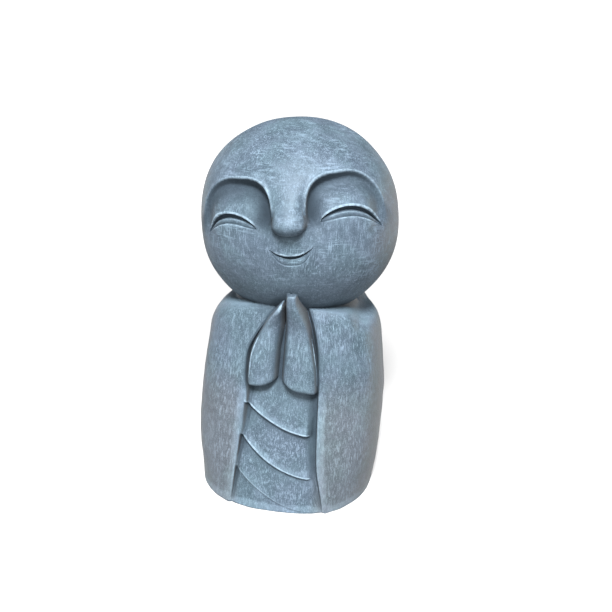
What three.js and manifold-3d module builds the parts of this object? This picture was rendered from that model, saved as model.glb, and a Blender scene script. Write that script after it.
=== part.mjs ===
// Stone jizo: a small praying monk cast as one solid block. A nearly round, shaven head is
// bedded in a squat cloaked body. The cloak is open in front, with two praying hands in the
// opening and an inner robe that falls in three folds below them.
// Millimetres, +Z up. The figure faces -Y, and its viewer's right is +X. The origin is the
// centre of the flat underside.

import * as THREE from 'three';
import { mergeVertices } from 'three/addons/utils/BufferGeometryUtils.js';
import Module from 'manifold-3d';

const wasm = await Module();
wasm.setup();

// Driving dimensions
const HEIGHT = 250;
const HEAD_WIDTH = 128.2;
const HEAD_HEIGHT = 127.2;
const HEAD_BEDDING = 15.3;
const HEAD_OFFSET_X = -2;
const HEAD_TURN = 5.9;
const HEAD_TILT = 7.1;
const BODY_WIDTH = 128.8;
const BODY_DEPTH = 127.6;
const BODY_OUT_OF_SQUARE = 0.034;
const SHOULDER_RADIUS = 13;
const RIGHT_SHOULDER_RADIUS = 8.8;
const RIGHT_SHOULDER_SQUARENESS = 3.2;
const SHOULDER_CROWN = 12;
const RIGHT_SHOULDER_DROP = 6.3;
const COLLAR_ROUNDING = 3.5;
const BASE_ROUNDING = 1;
const ROBE_DEPTH = 6.2;
const FOLD_STEP = 3.2;
const FOLD_EDGE = 0.5;
const HAND_RISE = 3.8;
const HAND_LEAN = 8;
const HAND_ROOT = 14;
const SLEEVE_EDGE_WIDTH = 1.2;
const EYE_DEPTH = 3.1;
const MOUTH_DEPTH = 2.4;
const LIP_DEPTH = 1.1;

// What follows from the driving dimensions
const headRadius = HEAD_WIDTH / 2;
const headHalfHeight = HEAD_HEIGHT / 2;
const headCentreZ = HEIGHT - headHalfHeight;
const collarZ = headCentreZ - headHalfHeight + HEAD_BEDDING;
const bodyHalfWidth = BODY_WIDTH / 2;
const bodyHalfDepth = BODY_DEPTH / 2;
const shoulderZ = collarZ - SHOULDER_RADIUS - SHOULDER_CROWN;

// Fineness of the facets
const BODY_COLUMNS = 48;
const HEAD_COLUMNS = 72;
const HEAD_ROWS = 37;
const FEATURE_STEPS = 16;

// Small tools for the forms

function smooth(from, to, value) {
  const t = Math.min(1, Math.max(0, (value - from) / (to - from)));
  return t * t * (3 - 2 * t);
}

// A smooth curve through a few points, read as y for a given x.
function follow(points, x) {
  const last = points.length - 1;
  const slope = (i) => {
    const a = points[Math.max(0, i - 1)];
    const b = points[Math.min(last, i + 1)];
    return (b[1] - a[1]) / (b[0] - a[0]);
  };
  if (x <= points[0][0]) return points[0][1] + slope(0) * (x - points[0][0]);
  if (x >= points[last][0]) return points[last][1] + slope(last) * (x - points[last][0]);
  let i = 0;
  while (x > points[i + 1][0]) i += 1;
  const width = points[i + 1][0] - points[i][0];
  const t = (x - points[i][0]) / width;
  const rest = 1 - t;
  return points[i][1] * (1 + 2 * t) * rest * rest
    + slope(i) * width * t * rest * rest
    + points[i + 1][1] * (1 + 2 * rest) * t * t
    - slope(i + 1) * width * rest * t * t;
}

// Moves every vertex of a three.js geometry and closes it into a solid.
function solid(geometry, place = (point) => point) {
  const bare = geometry.clone();
  bare.deleteAttribute('normal');
  bare.deleteAttribute('uv');
  const position = bare.attributes.position;
  const point = new THREE.Vector3();
  for (let i = 0; i < position.count; i += 1) {
    point.fromBufferAttribute(position, i);
    place(point, geometry.attributes.uv.getX(i), geometry.attributes.uv.getY(i));
    position.setXYZ(i, point.x, point.y, point.z);
  }
  const merged = mergeVertices(bare, 1e-4);
  const mesh = new wasm.Mesh({
    numProp: 3,
    vertProperties: new Float32Array(merged.attributes.position.array),
    triVerts: new Uint32Array(merged.index.array),
  });
  return new wasm.Manifold(mesh);
}

// The cloak: rounded square sections, widest a quarter of the way up

// Half widths and half depths are shares of the body's own, at shares of the collar height.
const WIDTH_SHARES = [[0, 0.96], [0.27, 1], [0.55, 0.972], [0.82, 0.894], [1, 0.82]];
const DEPTH_SHARES = [[0, 1], [0.12, 0.938], [0.27, 0.886], [0.55, 0.815], [0.82, 0.731], [1, 0.703]];
const LEFT_BASE_SQUARENESS = 2.75;
const RIGHT_BASE_SQUARENESS = 2.35;
const SQUARENESS = 2.95;

function squareness(x, z) {
  const atBase = x < 0 ? LEFT_BASE_SQUARENESS : RIGHT_BASE_SQUARENESS;
  return atBase + (SQUARENESS - atBase) * smooth(0, 0.3, z / collarZ);
}

function halfWidth(z) {
  return bodyHalfWidth * follow(WIDTH_SHARES, z / collarZ);
}

function halfDepth(z) {
  return bodyHalfDepth * follow(DEPTH_SHARES, z / collarZ);
}

// How much the section is out of square: hardly at all at the base.
function skew(z) {
  return BODY_OUT_OF_SQUARE * smooth(-0.1, 0.6, z / collarZ);
}

// How far forward the cloak's front reaches at x and z.
function cloakFront(x, z) {
  const power = squareness(x, z);
  const share = Math.min(0.98, Math.abs(x) / halfWidth(z));
  return -halfDepth(z) * Math.pow(1 - Math.pow(share, power), 1 / power) + skew(z) * x;
}

// The height of the cloak's top, which falls away to both shoulders, sooner on the right.
function cloakTop(x) {
  const share = x / bodyHalfWidth;
  const drop = RIGHT_SHOULDER_DROP * smooth(0.56, 0.72, share) * (1 - smooth(0.85, 1, share));
  return shoulderZ + SHOULDER_RADIUS + SHOULDER_CROWN * (1 - Math.pow(Math.abs(share), 2.6)) - drop;
}

// Each level of the cloak is [height, inset on the left, inset on the right, inset at front and
// back, share].
function cloakLevels() {
  const level = (z, inset, share) => [z, inset, inset, inset, share];
  const levels = [
    level(-BASE_ROUNDING, 2.5 * BASE_ROUNDING, 0),
    level(-BASE_ROUNDING, 2.5 * BASE_ROUNDING, 1),
    level(0, BASE_ROUNDING, 1),
    level(BASE_ROUNDING, 0.3 * BASE_ROUNDING, 1),
  ];
  for (const share of [0.05, 0.13, 0.22, 0.33, 0.45, 0.57, 0.69, 0.78]) levels.push(level(share * collarZ, 0, 1));
  const arcSteps = 6;
  for (let i = 0; i <= arcSteps; i += 1) {
    const angle = (i / arcSteps) * (Math.PI / 2);
    const up = Math.sin(angle);
    const inset = 1 - Math.cos(angle);
    const rightInset = 1 - Math.pow(1 - Math.pow(up, RIGHT_SHOULDER_SQUARENESS), 1 / RIGHT_SHOULDER_SQUARENESS);
    levels.push([shoulderZ + SHOULDER_RADIUS * up, SHOULDER_RADIUS * inset, RIGHT_SHOULDER_RADIUS * rightInset,
      COLLAR_ROUNDING * inset, 1]);
  }
  const top = shoulderZ + SHOULDER_RADIUS;
  for (const share of [0.85, 0.7, 0.5, 0.25, 0]) {
    levels.push([top, SHOULDER_RADIUS, RIGHT_SHOULDER_RADIUS, COLLAR_ROUNDING, share]);
  }
  return levels;
}

function makeCloak() {
  const levels = cloakLevels();
  const profile = levels.map(([, , , , share], i) => new THREE.Vector2(share, i));
  const lathe = new THREE.LatheGeometry(profile, BODY_COLUMNS);
  const crownStart = 0.72 * collarZ;
  return solid(lathe, (point) => {
    const [z, leftInset, rightInset, frontInset, share] = levels[Math.round(point.y)];
    const angle = Math.atan2(point.z, point.x);
    const power = squareness(Math.cos(angle), z);
    const inset = Math.cos(angle) < 0 ? leftInset : rightInset;
    const across = Math.abs(Math.cos(angle)) / (halfWidth(z) - inset);
    const along = Math.abs(Math.sin(angle)) / (halfDepth(z) - frontInset);
    const reach = share / Math.pow(Math.pow(across, power) + Math.pow(along, power), 1 / power);
    const x = reach * Math.cos(angle);
    const y = -reach * Math.sin(angle) + skew(z) * x;
    const crown = cloakTop(x) - shoulderZ - SHOULDER_RADIUS;
    point.set(x, y, z + crown * smooth(crownStart, shoulderZ + SHOULDER_RADIUS, z));
  });
}

// The opening in the cloak, from the chin to the base

// Each rim is the share of the body's half width at a share of the collar height.
const LEFT_RIM = [[-0.05, -0.47], [0.2, -0.43], [0.4, -0.395], [0.58, -0.365], [0.7, -0.38], [0.8, -0.35],
  [0.92, -0.21], [1.04, -0.03]];
const RIGHT_RIM = [[-0.05, 0.55], [0.12, 0.47], [0.25, 0.42], [0.6, 0.38], [0.8, 0.355], [0.92, 0.3],
  [1.04, 0.2]];

function leftRim(z) {
  return bodyHalfWidth * follow(LEFT_RIM, z / collarZ);
}

function rightRim(z) {
  return bodyHalfWidth * follow(RIGHT_RIM, z / collarZ);
}

function makeOpening() {
  const rows = 22;
  const lowest = -0.04 * collarZ;
  const highest = 1.03 * collarZ;
  const outline = new THREE.Shape();
  const height = (i) => lowest + (highest - lowest) * (i / rows);
  outline.moveTo(leftRim(height(0)), height(0));
  for (let i = 1; i <= rows; i += 1) outline.lineTo(leftRim(height(i)), height(i));
  for (let i = rows; i >= 0; i -= 1) outline.lineTo(rightRim(height(i)), height(i));
  const reach = bodyHalfDepth;
  const prism = new THREE.ExtrudeGeometry(outline, { depth: reach, bevelEnabled: false });
  prism.rotateX(Math.PI / 2);
  prism.translate(0, -0.5 * bodyHalfDepth, 0);
  return solid(prism);
}

// The inner robe: a slab behind the cloak's front whose rows follow the folds

// Each fold's lower edge falls from the left rim to its right end, as shares of the collar
// height: where it ends on the right, and how far it falls.
const FOLDS = [
  { right: 0.384, fall: 0.155 },
  { right: 0.174, fall: 0.195 },
  { right: -0.003, fall: 0.205 },
];
const FOLD_CURVE = 2.1;
// The robe lies nearly flush with the cloak at the base and deepest just below the hands.
const ROBE_SHARES = [[0, 0.12], [0.15, 0.45], [0.4, 0.85], [0.62, 0.95], [0.7, 0.8], [1, 0.7]];

function foldHeight(fold, x, z) {
  const right = rightRim(z) - 0.02 * bodyHalfWidth;
  const left = leftRim(z);
  const share = Math.max(0, (right - x) / (right - left));
  return collarZ * (fold.right + fold.fall * Math.pow(share, FOLD_CURVE));
}

function makeRobe() {
  const left = -0.54 * bodyHalfWidth;
  const right = 0.6 * bodyHalfWidth;
  const edges = FOLDS.map((fold) => (x) => foldHeight(fold, x, collarZ * (fold.right + 0.4 * fold.fall)));
  // Each row is [height at x, how far it stands forward of the robe's deepest level].
  const rows = [];
  const panel = (lower, upper, steps, lowerRise) => {
    for (let i = 0; i <= steps; i += 1) {
      const t = i / steps;
      rows.push([(x) => lower(x) + (upper(x) - lower(x)) * t, lowerRise * Math.pow(1 - t, 1.4)]);
    }
  };
  const bottom = () => -BASE_ROUNDING;
  const top = (x) => cloakTop(x) - 0.5 * COLLAR_ROUNDING;
  const under = (edge) => (x) => edge(x) - FOLD_EDGE;
  panel((x) => Math.min(bottom(), under(edges[2])(x) - 0.01), under(edges[2]), 2, 0);
  panel(edges[2], under(edges[1]), 3, FOLD_STEP);
  panel(edges[1], under(edges[0]), 3, FOLD_STEP);
  panel(edges[0], top, 4, FOLD_STEP);
  const box = new THREE.BoxGeometry(1, 1, 1, 15, 1, rows.length - 1);
  return solid(box, (point) => {
    const x = left + (right - left) * (point.x + 0.5);
    const [height, rise] = rows[Math.round((point.z + 0.5) * (rows.length - 1))];
    const z = height(x);
    const rim = rightRim(Math.max(0, z));
    const ends = 1 - smooth(rim - 0.13 * bodyHalfWidth, rim - 0.05 * bodyHalfWidth, x);
    const depth = ROBE_DEPTH * follow(ROBE_SHARES, Math.max(0, z) / collarZ);
    const front = cloakFront(x, z) + depth - rise * ends * Math.min(1, depth / FOLD_STEP);
    point.set(x, point.y < 0 ? front : -0.4 * bodyHalfDepth, z);
  });
}

// The hands: two long drops side by side, tips under the chin

// Edges are shares of the body's half width at shares of the collar height. The corner is how
// high the inner edge takes to round off at the bottom, and a bluntness near 0 is a square side.
const LEFT_HAND = {
  outer: [[0.61, -0.355], [0.67, -0.36], [0.76, -0.35], [0.82, -0.315], [0.89, -0.245], [0.954, -0.165],
    [1.015, -0.065], [1.05, -0.005]],
  inner: [[0.61, -0.04], [0.79, -0.026], [0.884, -0.003], [0.978, 0.012], [1.05, 0.025]],
  bottom: 0.605,
  top: 1.055,
  corner: 0.058,
  tip: 0.043,
  outerBluntness: 0.5,
  innerBluntness: 1,
};
const RIGHT_HAND = {
  outer: [[0.595, 0.382], [0.69, 0.364], [0.775, 0.325], [0.84, 0.292], [0.92, 0.25], [0.986, 0.2],
    [1.05, 0.155], [1.1, 0.145]],
  inner: [[0.595, -0.01], [0.7, -0.018], [0.797, -0.014], [0.884, -0.008], [0.978, 0], [1.05, 0.006],
    [1.1, 0.012]],
  bottom: 0.594,
  top: 1.095,
  corner: 0.065,
  tip: 0.022,
  outerBluntness: 0.62,
  innerBluntness: 0.6,
};
const HAND_SIDE = 0.62;
const HAND_EDGE_THICKNESS = 0.35;
const HAND_UNDERCUT = 0.036;

// A quarter circle's rise from 0 to 1.
function rounded(share) {
  const t = Math.min(1, Math.max(0, share));
  return Math.sqrt(1 - (1 - t) * (1 - t));
}

// A hand's outer and inner side at a share of the collar height, and how thick it is there.
function handSides(hand, up) {
  const tip = rounded((hand.top - up) / hand.tip);
  const outer = bodyHalfWidth * follow(hand.outer, up);
  const fullInner = bodyHalfWidth * follow(hand.inner, up);
  const inner = outer + (fullInner - outer) * rounded((up - hand.bottom) / hand.corner) * tip;
  const undercut = rounded((up - hand.bottom) / HAND_UNDERCUT) * tip;
  return { outer, inner, thick: HAND_EDGE_THICKNESS + (1 - HAND_EDGE_THICKNESS) * undercut };
}

// How far forward a hand reaches, for how much of the way round it a place faces forward.
function handFront(sides, up, forward) {
  const rise = HAND_RISE + HAND_LEAN * smooth(0.88, 1.06, up);
  const root = cloakFront((sides.outer + sides.inner) / 2, collarZ * up) + HAND_ROOT;
  return root - (HAND_ROOT + rise) * sides.thick * Math.pow(Math.max(0, forward), HAND_SIDE);
}

function makeHand(hand) {
  const ball = new THREE.SphereGeometry(1, 18, 14);
  return solid(ball, (point) => {
    const ring = Math.hypot(point.x, point.z);
    const up = hand.bottom + (hand.top - hand.bottom) * (point.y + 1) / 2;
    const sides = handSides(hand, up);
    const { outer, inner } = sides;
    const across = ring > 1e-6 ? point.x / ring : 0;
    const forward = ring > 1e-6 ? point.z / ring : 0;
    const bluntness = across * (inner - outer) > 0 ? hand.innerBluntness : hand.outerBluntness;
    const full = Math.sign(across) * Math.pow(Math.abs(across), bluntness);
    const x = (outer + inner) / 2 + (Math.abs(outer - inner) / 2) * full;
    point.set(x, handFront(sides, up, forward), collarZ * up);
  });
}

// The thin edge of a sleeve that shows along the outer side of each hand: its share across the
// hand, and its ends as shares of the collar height.
const SLEEVE_EDGES = [
  { hand: LEFT_HAND, share: 0.13, low: 0.655, high: 0.86 },
  { hand: RIGHT_HAND, share: 0.05, low: 0.64, high: 0.86 },
];

function makeSleeveEdge({ hand, share, low, high }) {
  const blade = new THREE.BoxGeometry(1, 1, 1, 2, 1, 10);
  const sideways = Math.pow(1 - 2 * share, 1 / hand.outerBluntness);
  const forward = Math.sqrt(1 - sideways * sideways);
  return solid(blade, (point) => {
    const up = low + (high - low) * (point.z + 0.5);
    const sides = handSides(hand, up);
    const x = sides.outer + (sides.inner - sides.outer) * share + SLEEVE_EDGE_WIDTH * point.x;
    const crest = handFront(sides, up, forward) - 0.4 * SLEEVE_EDGE_WIDTH * (1 - 2 * Math.abs(point.x));
    point.set(x, point.y < 0 ? crest : crest + 0.25 * HAND_ROOT, collarZ * up);
  });
}

// The head: a ball a little fuller than round, with the face modelled into it

const HEAD_FULLNESS = 2.11;
const degrees = Math.PI / 180;

// The sockets are places on the head in degrees: azimuth from the middle of the face, latitude.
const SOCKET = {
  azimuth: 33,
  latitude: 5,
  toNose: 24.5,
  toLeftTemple: 25.5,
  toRightTemple: 24,
  up: 25.2,
  down: 15,
  foot: 0.84,
  rim: 1,
};

// How far out of the socket's middle a place is: 1 on the line of the brow and the nose.
function socketEdge(azimuth, dy) {
  const dx = Math.abs(azimuth) - SOCKET.azimuth;
  const power = dx < 0 ? 3.3 : 2.2;
  const toTemple = azimuth < 0 ? SOCKET.toLeftTemple : SOCKET.toRightTemple;
  const across = Math.abs(dx) / (dx < 0 ? SOCKET.toNose : toTemple);
  const along = dy > 0 ? dy / SOCKET.up : (-dy / SOCKET.down) * smooth(-0.82, 0, dx / SOCKET.toNose);
  return Math.pow(Math.pow(across, power) + Math.pow(along, power), 1 / power);
}

// The nose's height, as a share of the head's radius, and its half width in degrees, both at
// degrees of latitude.
const NOSE_HEIGHT = [[0.4, 0], [1.2, 0.062], [2.5, 0.1], [5.4, 0.122], [9.5, 0.094], [14, 0.056], [20, 0.03],
  [27, 0.011], [34, 0]];
const NOSE_WIDTH = [[0.4, 2], [1.1, 4.2], [2.1, 6.2], [3.7, 7.9], [6, 8.7], [9.5, 8], [14, 7.6], [20, 8.8], [27, 11],
  [34, 14]];
const NOSE_ROUNDNESS = 2.4;
const NOSE_FULLNESS = 0.55;

// Broad swellings of the face: middle, spread and height, for the lids, cheeks and temples.
const SWELLINGS = [
  { azimuth: 33, latitude: 12, wide: 15, tall: 7.5, height: 0.018 },
  { azimuth: -33, latitude: 12, wide: 15, tall: 7.5, height: 0.018 },
  { azimuth: 60, latitude: -18, wide: 34, tall: 20, height: 0.012 },
  { azimuth: -60, latitude: -18, wide: 34, tall: 20, height: 0.012 },
  { azimuth: -80, latitude: 38, wide: 35, tall: 24, height: 0.022 },
  { azimuth: 62, latitude: 54, wide: 30, tall: 20, height: -0.022 },
];
const SOCKET_DEPTH = { temple: 0.036, nose: 0.09, middle: 0.15 };
const BROW_RIDGE = { height: 0.009, place: 1.03, width: 0.04 };

// How far the face stands out of the ball at a place on it, as a share of the head's radius.
function relief(azimuth, latitude) {
  const side = Math.abs(azimuth);
  const dx = side - SOCKET.azimuth;
  const dy = latitude - SOCKET.latitude;
  const edge = socketEdge(azimuth, dy);
  const towardNose = 1 - smooth(-0.94, 0.94, dx / SOCKET.toNose);
  const soft = 1 - smooth(-0.53, 0.47, dy / SOCKET.down);
  const wall = 1 - smooth(SOCKET.foot - 0.5 * soft, SOCKET.rim + 0.15 * soft, edge);
  const floor = SOCKET_DEPTH.middle + (1 - SOCKET_DEPTH.middle) * smooth(0.45, 0.86, edge);
  const depth = SOCKET_DEPTH.temple + (SOCKET_DEPTH.nose - SOCKET_DEPTH.temple) * towardNose;
  const browShare = (edge - BROW_RIDGE.place) / BROW_RIDGE.width;
  let height = -depth * wall * floor * smooth(-0.8, 0.47, dy / SOCKET.down);
  height += BROW_RIDGE.height * Math.exp(-browShare * browShare) * smooth(0, 0.8, dy / SOCKET.down);
  const awayFromPoles = 1 - smooth(70, 90, Math.abs(latitude));
  for (const swelling of SWELLINGS) {
    const across = Math.abs(azimuth - swelling.azimuth);
    const turned = Math.min(across, 360 - across) / swelling.wide;
    const along = (latitude - swelling.latitude) / swelling.tall;
    height += swelling.height * Math.exp(-turned * turned - along * along) * awayFromPoles;
  }
  return height;
}

// A point of the head at a place on it, sunk below the face by a depth in millimetres.
function headPoint(point, azimuth, latitude, sunk = 0) {
  const direction = new THREE.Vector3(
    Math.cos(latitude * degrees) * Math.sin(azimuth * degrees),
    -Math.cos(latitude * degrees) * Math.cos(azimuth * degrees),
    Math.sin(latitude * degrees),
  );
  const squared = Math.pow(Math.abs(direction.x) / headRadius, HEAD_FULLNESS)
    + Math.pow(Math.abs(direction.y) / headRadius, HEAD_FULLNESS)
    + Math.pow(Math.abs(direction.z) / headHalfHeight, HEAD_FULLNESS);
  const reach = 1 / Math.pow(squared, 1 / HEAD_FULLNESS) + headRadius * relief(azimuth, latitude);
  return point.copy(direction).multiplyScalar(reach - sunk);
}

// Places beside the wall of a socket move onto its foot or its rim, so that the brow is crisp.
function ontoBrow(azimuth, latitude) {
  const dx = Math.abs(azimuth) - SOCKET.azimuth;
  const dy = latitude - SOCKET.latitude;
  const edge = socketEdge(azimuth, dy);
  const reach = 0.5 * (SOCKET.rim - SOCKET.foot);
  const target = edge < SOCKET.foot + reach ? SOCKET.foot : SOCKET.rim;
  if (dy < 0 || Math.abs(edge - target) > reach) return [azimuth, latitude];
  const scale = target / edge;
  return [Math.sign(azimuth) * (SOCKET.azimuth + dx * scale), SOCKET.latitude + dy * scale];
}

function makeHeadBall() {
  const ball = new THREE.SphereGeometry(1, HEAD_COLUMNS, HEAD_ROWS);
  // The rows and columns crowd together on the face.
  return solid(ball, (point, u, v) => {
    const s = 2 * u - 1;
    const q = 2 * v - 1;
    const azimuth = 180 * (0.5 * s + 0.5 * Math.pow(s, 5));
    const latitude = 90 * (0.45 * q + 0.55 * Math.pow(q, 3)) + 8 * (1 - q * q);
    headPoint(point, ...ontoBrow(azimuth, latitude));
  });
}

// The nose is a strip up the middle of the face, bedded a little into it all round.
function makeNose() {
  const bedding = 0.4;
  const root = 6;
  const lowest = NOSE_HEIGHT[0][0];
  const highest = NOSE_HEIGHT[NOSE_HEIGHT.length - 1][0];
  const box = new THREE.BoxGeometry(1, 1, 1, 10, 1, 14);
  return solid(box, (point) => {
    const across = Math.sin(Math.PI * point.x);
    const latitude = lowest + (highest - lowest) * Math.pow(point.z + 0.5, 1.8);
    const section = Math.pow(Math.max(0, 1 - Math.pow(Math.abs(across), NOSE_ROUNDNESS)), NOSE_FULLNESS);
    const height = headRadius * follow(NOSE_HEIGHT, latitude) * section;
    const azimuth = follow(NOSE_WIDTH, latitude) * across;
    headPoint(point, azimuth, latitude, point.y < 0 ? bedding - height : root);
  });
}

// A groove in the face: a strip between two curves, each a place for a share along it, cut
// to one depth at its lower edge and another at its upper edge.
function makeGroove(lower, upper, lowerDepth, upperDepth) {
  const proud = 12;
  const box = new THREE.BoxGeometry(1, 1, 1, FEATURE_STEPS, 1, 2);
  return solid(box, (point) => {
    const t = point.x + 0.5;
    const across = point.z + 0.5;
    const [azimuth, low] = lower(t);
    const high = Math.max(upper(t)[1], low + 0.3);
    const latitude = low + (high - low) * across;
    const taper = 0.25 + 0.75 * Math.sqrt(Math.sin(Math.PI * Math.min(0.98, Math.max(0.02, t))));
    const depth = (lowerDepth + (upperDepth - lowerDepth) * smooth(0.5, 0.68, across)) * taper;
    headPoint(point, azimuth, latitude, point.y < 0 ? -proud : depth);
  });
}

const EYE_RISE = { upper: 9.4, lower: 4.2 };
const RIGHT_EYE = { side: 1, inner: [16.3, 6.3], outer: [53.2, -0.8] };
const LEFT_EYE = { side: -1, inner: [17.8, 4.3], outer: [53.4, 0.9] };
const MOUTH = { halfWidth: 11.2, corner: -6.2, fall: 5.9, thickness: 2 };
const LIP = { halfWidth: 10.6, corner: -7.3, fall: 8.2 };

function makeEye(eye) {
  const chord = (t) => {
    const share = eye.side > 0 ? t : 1 - t;
    return [
      eye.side * (eye.inner[0] + (eye.outer[0] - eye.inner[0]) * share),
      eye.inner[1] + (eye.outer[1] - eye.inner[1]) * share,
    ];
  };
  const lower = (t) => {
    const [azimuth, latitude] = chord(t);
    return [azimuth, latitude + EYE_RISE.lower * Math.pow(Math.sin(Math.PI * t), 1.2)];
  };
  const upper = (t) => {
    const [azimuth, latitude] = chord(t);
    return [azimuth, latitude + EYE_RISE.upper * Math.pow(Math.sin(Math.PI * t), 0.6)];
  };
  return makeGroove(lower, upper, 0.42 * EYE_DEPTH, EYE_DEPTH);
}

function makeMouth() {
  const curve = (halfWidth, corner, fall, power, lift) => (t) => {
    const s = 2 * t - 1;
    const bow = 1 - Math.pow(Math.abs(s), power);
    return [halfWidth * s, corner - fall * bow + lift * bow];
  };
  const line = curve(MOUTH.halfWidth, MOUTH.corner, MOUTH.fall, 2, 0);
  const above = curve(MOUTH.halfWidth, MOUTH.corner, MOUTH.fall, 2, MOUTH.thickness);
  const lip = curve(LIP.halfWidth, LIP.corner, LIP.fall, 3, 0);
  const lipTop = curve(LIP.halfWidth, MOUTH.corner, MOUTH.fall, 2, 0.3);
  return makeGroove(line, above, MOUTH_DEPTH, MOUTH_DEPTH).add(makeGroove(lip, lipTop, 0.7 * LIP_DEPTH, LIP_DEPTH));
}

function makeHead() {
  const pose = new THREE.Matrix4().makeTranslation(HEAD_OFFSET_X, 0, headCentreZ)
    .multiply(new THREE.Matrix4().makeRotationZ(HEAD_TURN * degrees))
    .multiply(new THREE.Matrix4().makeRotationY(-HEAD_TILT * degrees));
  return makeHeadBall()
    .add(makeNose())
    .subtract(makeEye(RIGHT_EYE))
    .subtract(makeEye(LEFT_EYE))
    .subtract(makeMouth())
    .transform(pose.elements);
}

// The whole figure in one piece, cut flat underneath

function makeFigure() {
  const ground = new THREE.BoxGeometry(4 * BODY_WIDTH, 4 * BODY_DEPTH, HEIGHT);
  ground.translate(0, 0, -HEIGHT / 2);
  let figure = makeCloak().subtract(makeOpening()).add(makeRobe()).add(makeHead());
  for (const hand of [LEFT_HAND, RIGHT_HAND]) figure = figure.add(makeHand(hand));
  for (const edge of SLEEVE_EDGES) figure = figure.add(makeSleeveEdge(edge));
  figure = figure.subtract(solid(ground));
  const mesh = figure.getMesh();
  const geometry = new THREE.BufferGeometry();
  geometry.setAttribute('position', new THREE.BufferAttribute(mesh.vertProperties, 3));
  geometry.setIndex(new THREE.BufferAttribute(mesh.triVerts, 1));
  geometry.computeVertexNormals();
  return geometry;
}

const stone = new THREE.MeshStandardMaterial({ color: 0x7f92a3, roughness: 0.72, metalness: 0 });
const statue = new THREE.Mesh(makeFigure(), stone);
statue.name = 'jizo_statue';

const jizo = new THREE.Group();
jizo.add(statue);

export default jizo;
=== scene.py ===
import math

import bmesh
import bpy
import numpy as np
from mathutils import Matrix, Vector, bvhtree, noise


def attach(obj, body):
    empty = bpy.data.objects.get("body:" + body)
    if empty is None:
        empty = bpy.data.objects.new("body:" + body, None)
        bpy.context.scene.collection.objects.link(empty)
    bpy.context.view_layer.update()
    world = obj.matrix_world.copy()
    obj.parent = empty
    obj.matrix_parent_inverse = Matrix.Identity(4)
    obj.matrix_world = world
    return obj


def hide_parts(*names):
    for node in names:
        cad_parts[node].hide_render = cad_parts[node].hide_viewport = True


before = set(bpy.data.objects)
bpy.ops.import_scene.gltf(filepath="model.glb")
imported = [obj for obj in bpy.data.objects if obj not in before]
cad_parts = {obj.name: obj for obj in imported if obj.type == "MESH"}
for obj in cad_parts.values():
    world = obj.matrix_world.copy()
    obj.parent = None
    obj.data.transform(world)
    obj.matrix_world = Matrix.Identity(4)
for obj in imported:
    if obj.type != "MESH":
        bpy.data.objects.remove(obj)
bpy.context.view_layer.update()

# The cloaked body: a squat block with rounded square sections, cast with its cloak open in
# front and the inner robe laid in three shingled folds behind the opening. Its rows follow
# the folds and its columns follow the rims, so that both stay crisp. Sizes are millimetres.
MILLIMETRE = 0.001
HEIGHT = 250.0
HEAD_RADIUS = 64.1
HEAD_HALF_HEIGHT = 63.6
HEAD_BEDDING = 15.3
HALF_WIDTH = 64.4
HALF_DEPTH = 63.8
OUT_OF_SQUARE = 0.034
SQUARENESS = 2.95
LEFT_BASE_SQUARENESS = 2.75
RIGHT_BASE_SQUARENESS = 2.35
SHOULDER_RADIUS = 13.0
RIGHT_SHOULDER_RADIUS = 8.8
RIGHT_SHOULDER_SQUARENESS = 3.2
SHOULDER_CROWN = 12.0
CROWN_POWER = 2.6
RIGHT_SHOULDER_DROP = 6.3
COLLAR_ROUNDING = 3.5
BASE_ROUNDING = 1.0
ROBE_DEPTH = 6.2
FOLD_STEP = 3.2
FOLD_EDGE = 0.45
FOLD_CURVE = 2.1
FOLD_EASE = 1.3
TOP_FOLD_SHARE = 0.45
FOLD_END, FOLD_FULL = 2.5, 8
LEFT_WALL, LEFT_WALL_BELOW_HANDS, LEFT_WALL_BEHIND_HANDS = 1.0, 2.2, 2.6
RIGHT_WALL, RIGHT_WALL_BEHIND_HANDS = 1.5, 2.2
RIGHT_GROOVE, LEFT_GROOVE = 0.9, 0.7
RIM_LIP = 0.7
RIM_EDGE, RIM_WIDTH = 0.8, 4.5
LUMPS = [(0.035, 0.7), (0.11, 0.25)]
head_centre_z = HEIGHT - HEAD_HALF_HEIGHT
collar_z = head_centre_z - HEAD_HALF_HEIGHT + HEAD_BEDDING
shoulder_z = collar_z - SHOULDER_RADIUS - SHOULDER_CROWN
shoulder_top = shoulder_z + SHOULDER_RADIUS

WIDTH_SHARES = [(0, 0.96), (0.27, 1), (0.55, 0.972), (0.82, 0.894), (1, 0.82)]
DEPTH_SHARES = [(0, 1), (0.12, 0.938), (0.27, 0.886), (0.55, 0.815), (0.82, 0.731), (1, 0.703)]
LEFT_RIM = [(-0.05, -0.47), (0.2, -0.43), (0.4, -0.395), (0.58, -0.365), (0.7, -0.38), (0.8, -0.35),
            (0.92, -0.21), (1.04, -0.03)]
RIGHT_RIM = [(-0.05, 0.55), (0.12, 0.47), (0.25, 0.42), (0.6, 0.38), (0.8, 0.355), (0.92, 0.3), (1.04, 0.2)]
ROBE_SHARES = [(0, 0.12), (0.15, 0.45), (0.4, 0.85), (0.62, 0.95), (0.7, 0.8), (1, 0.7)]
FOLDS = [(0.384, 0.155), (0.174, 0.195), (0.008, 0.195)]


def smooth(start, end, value):
    t = min(1.0, max(0.0, (value - start) / (end - start)))
    return t * t * (3 - 2 * t)


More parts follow.
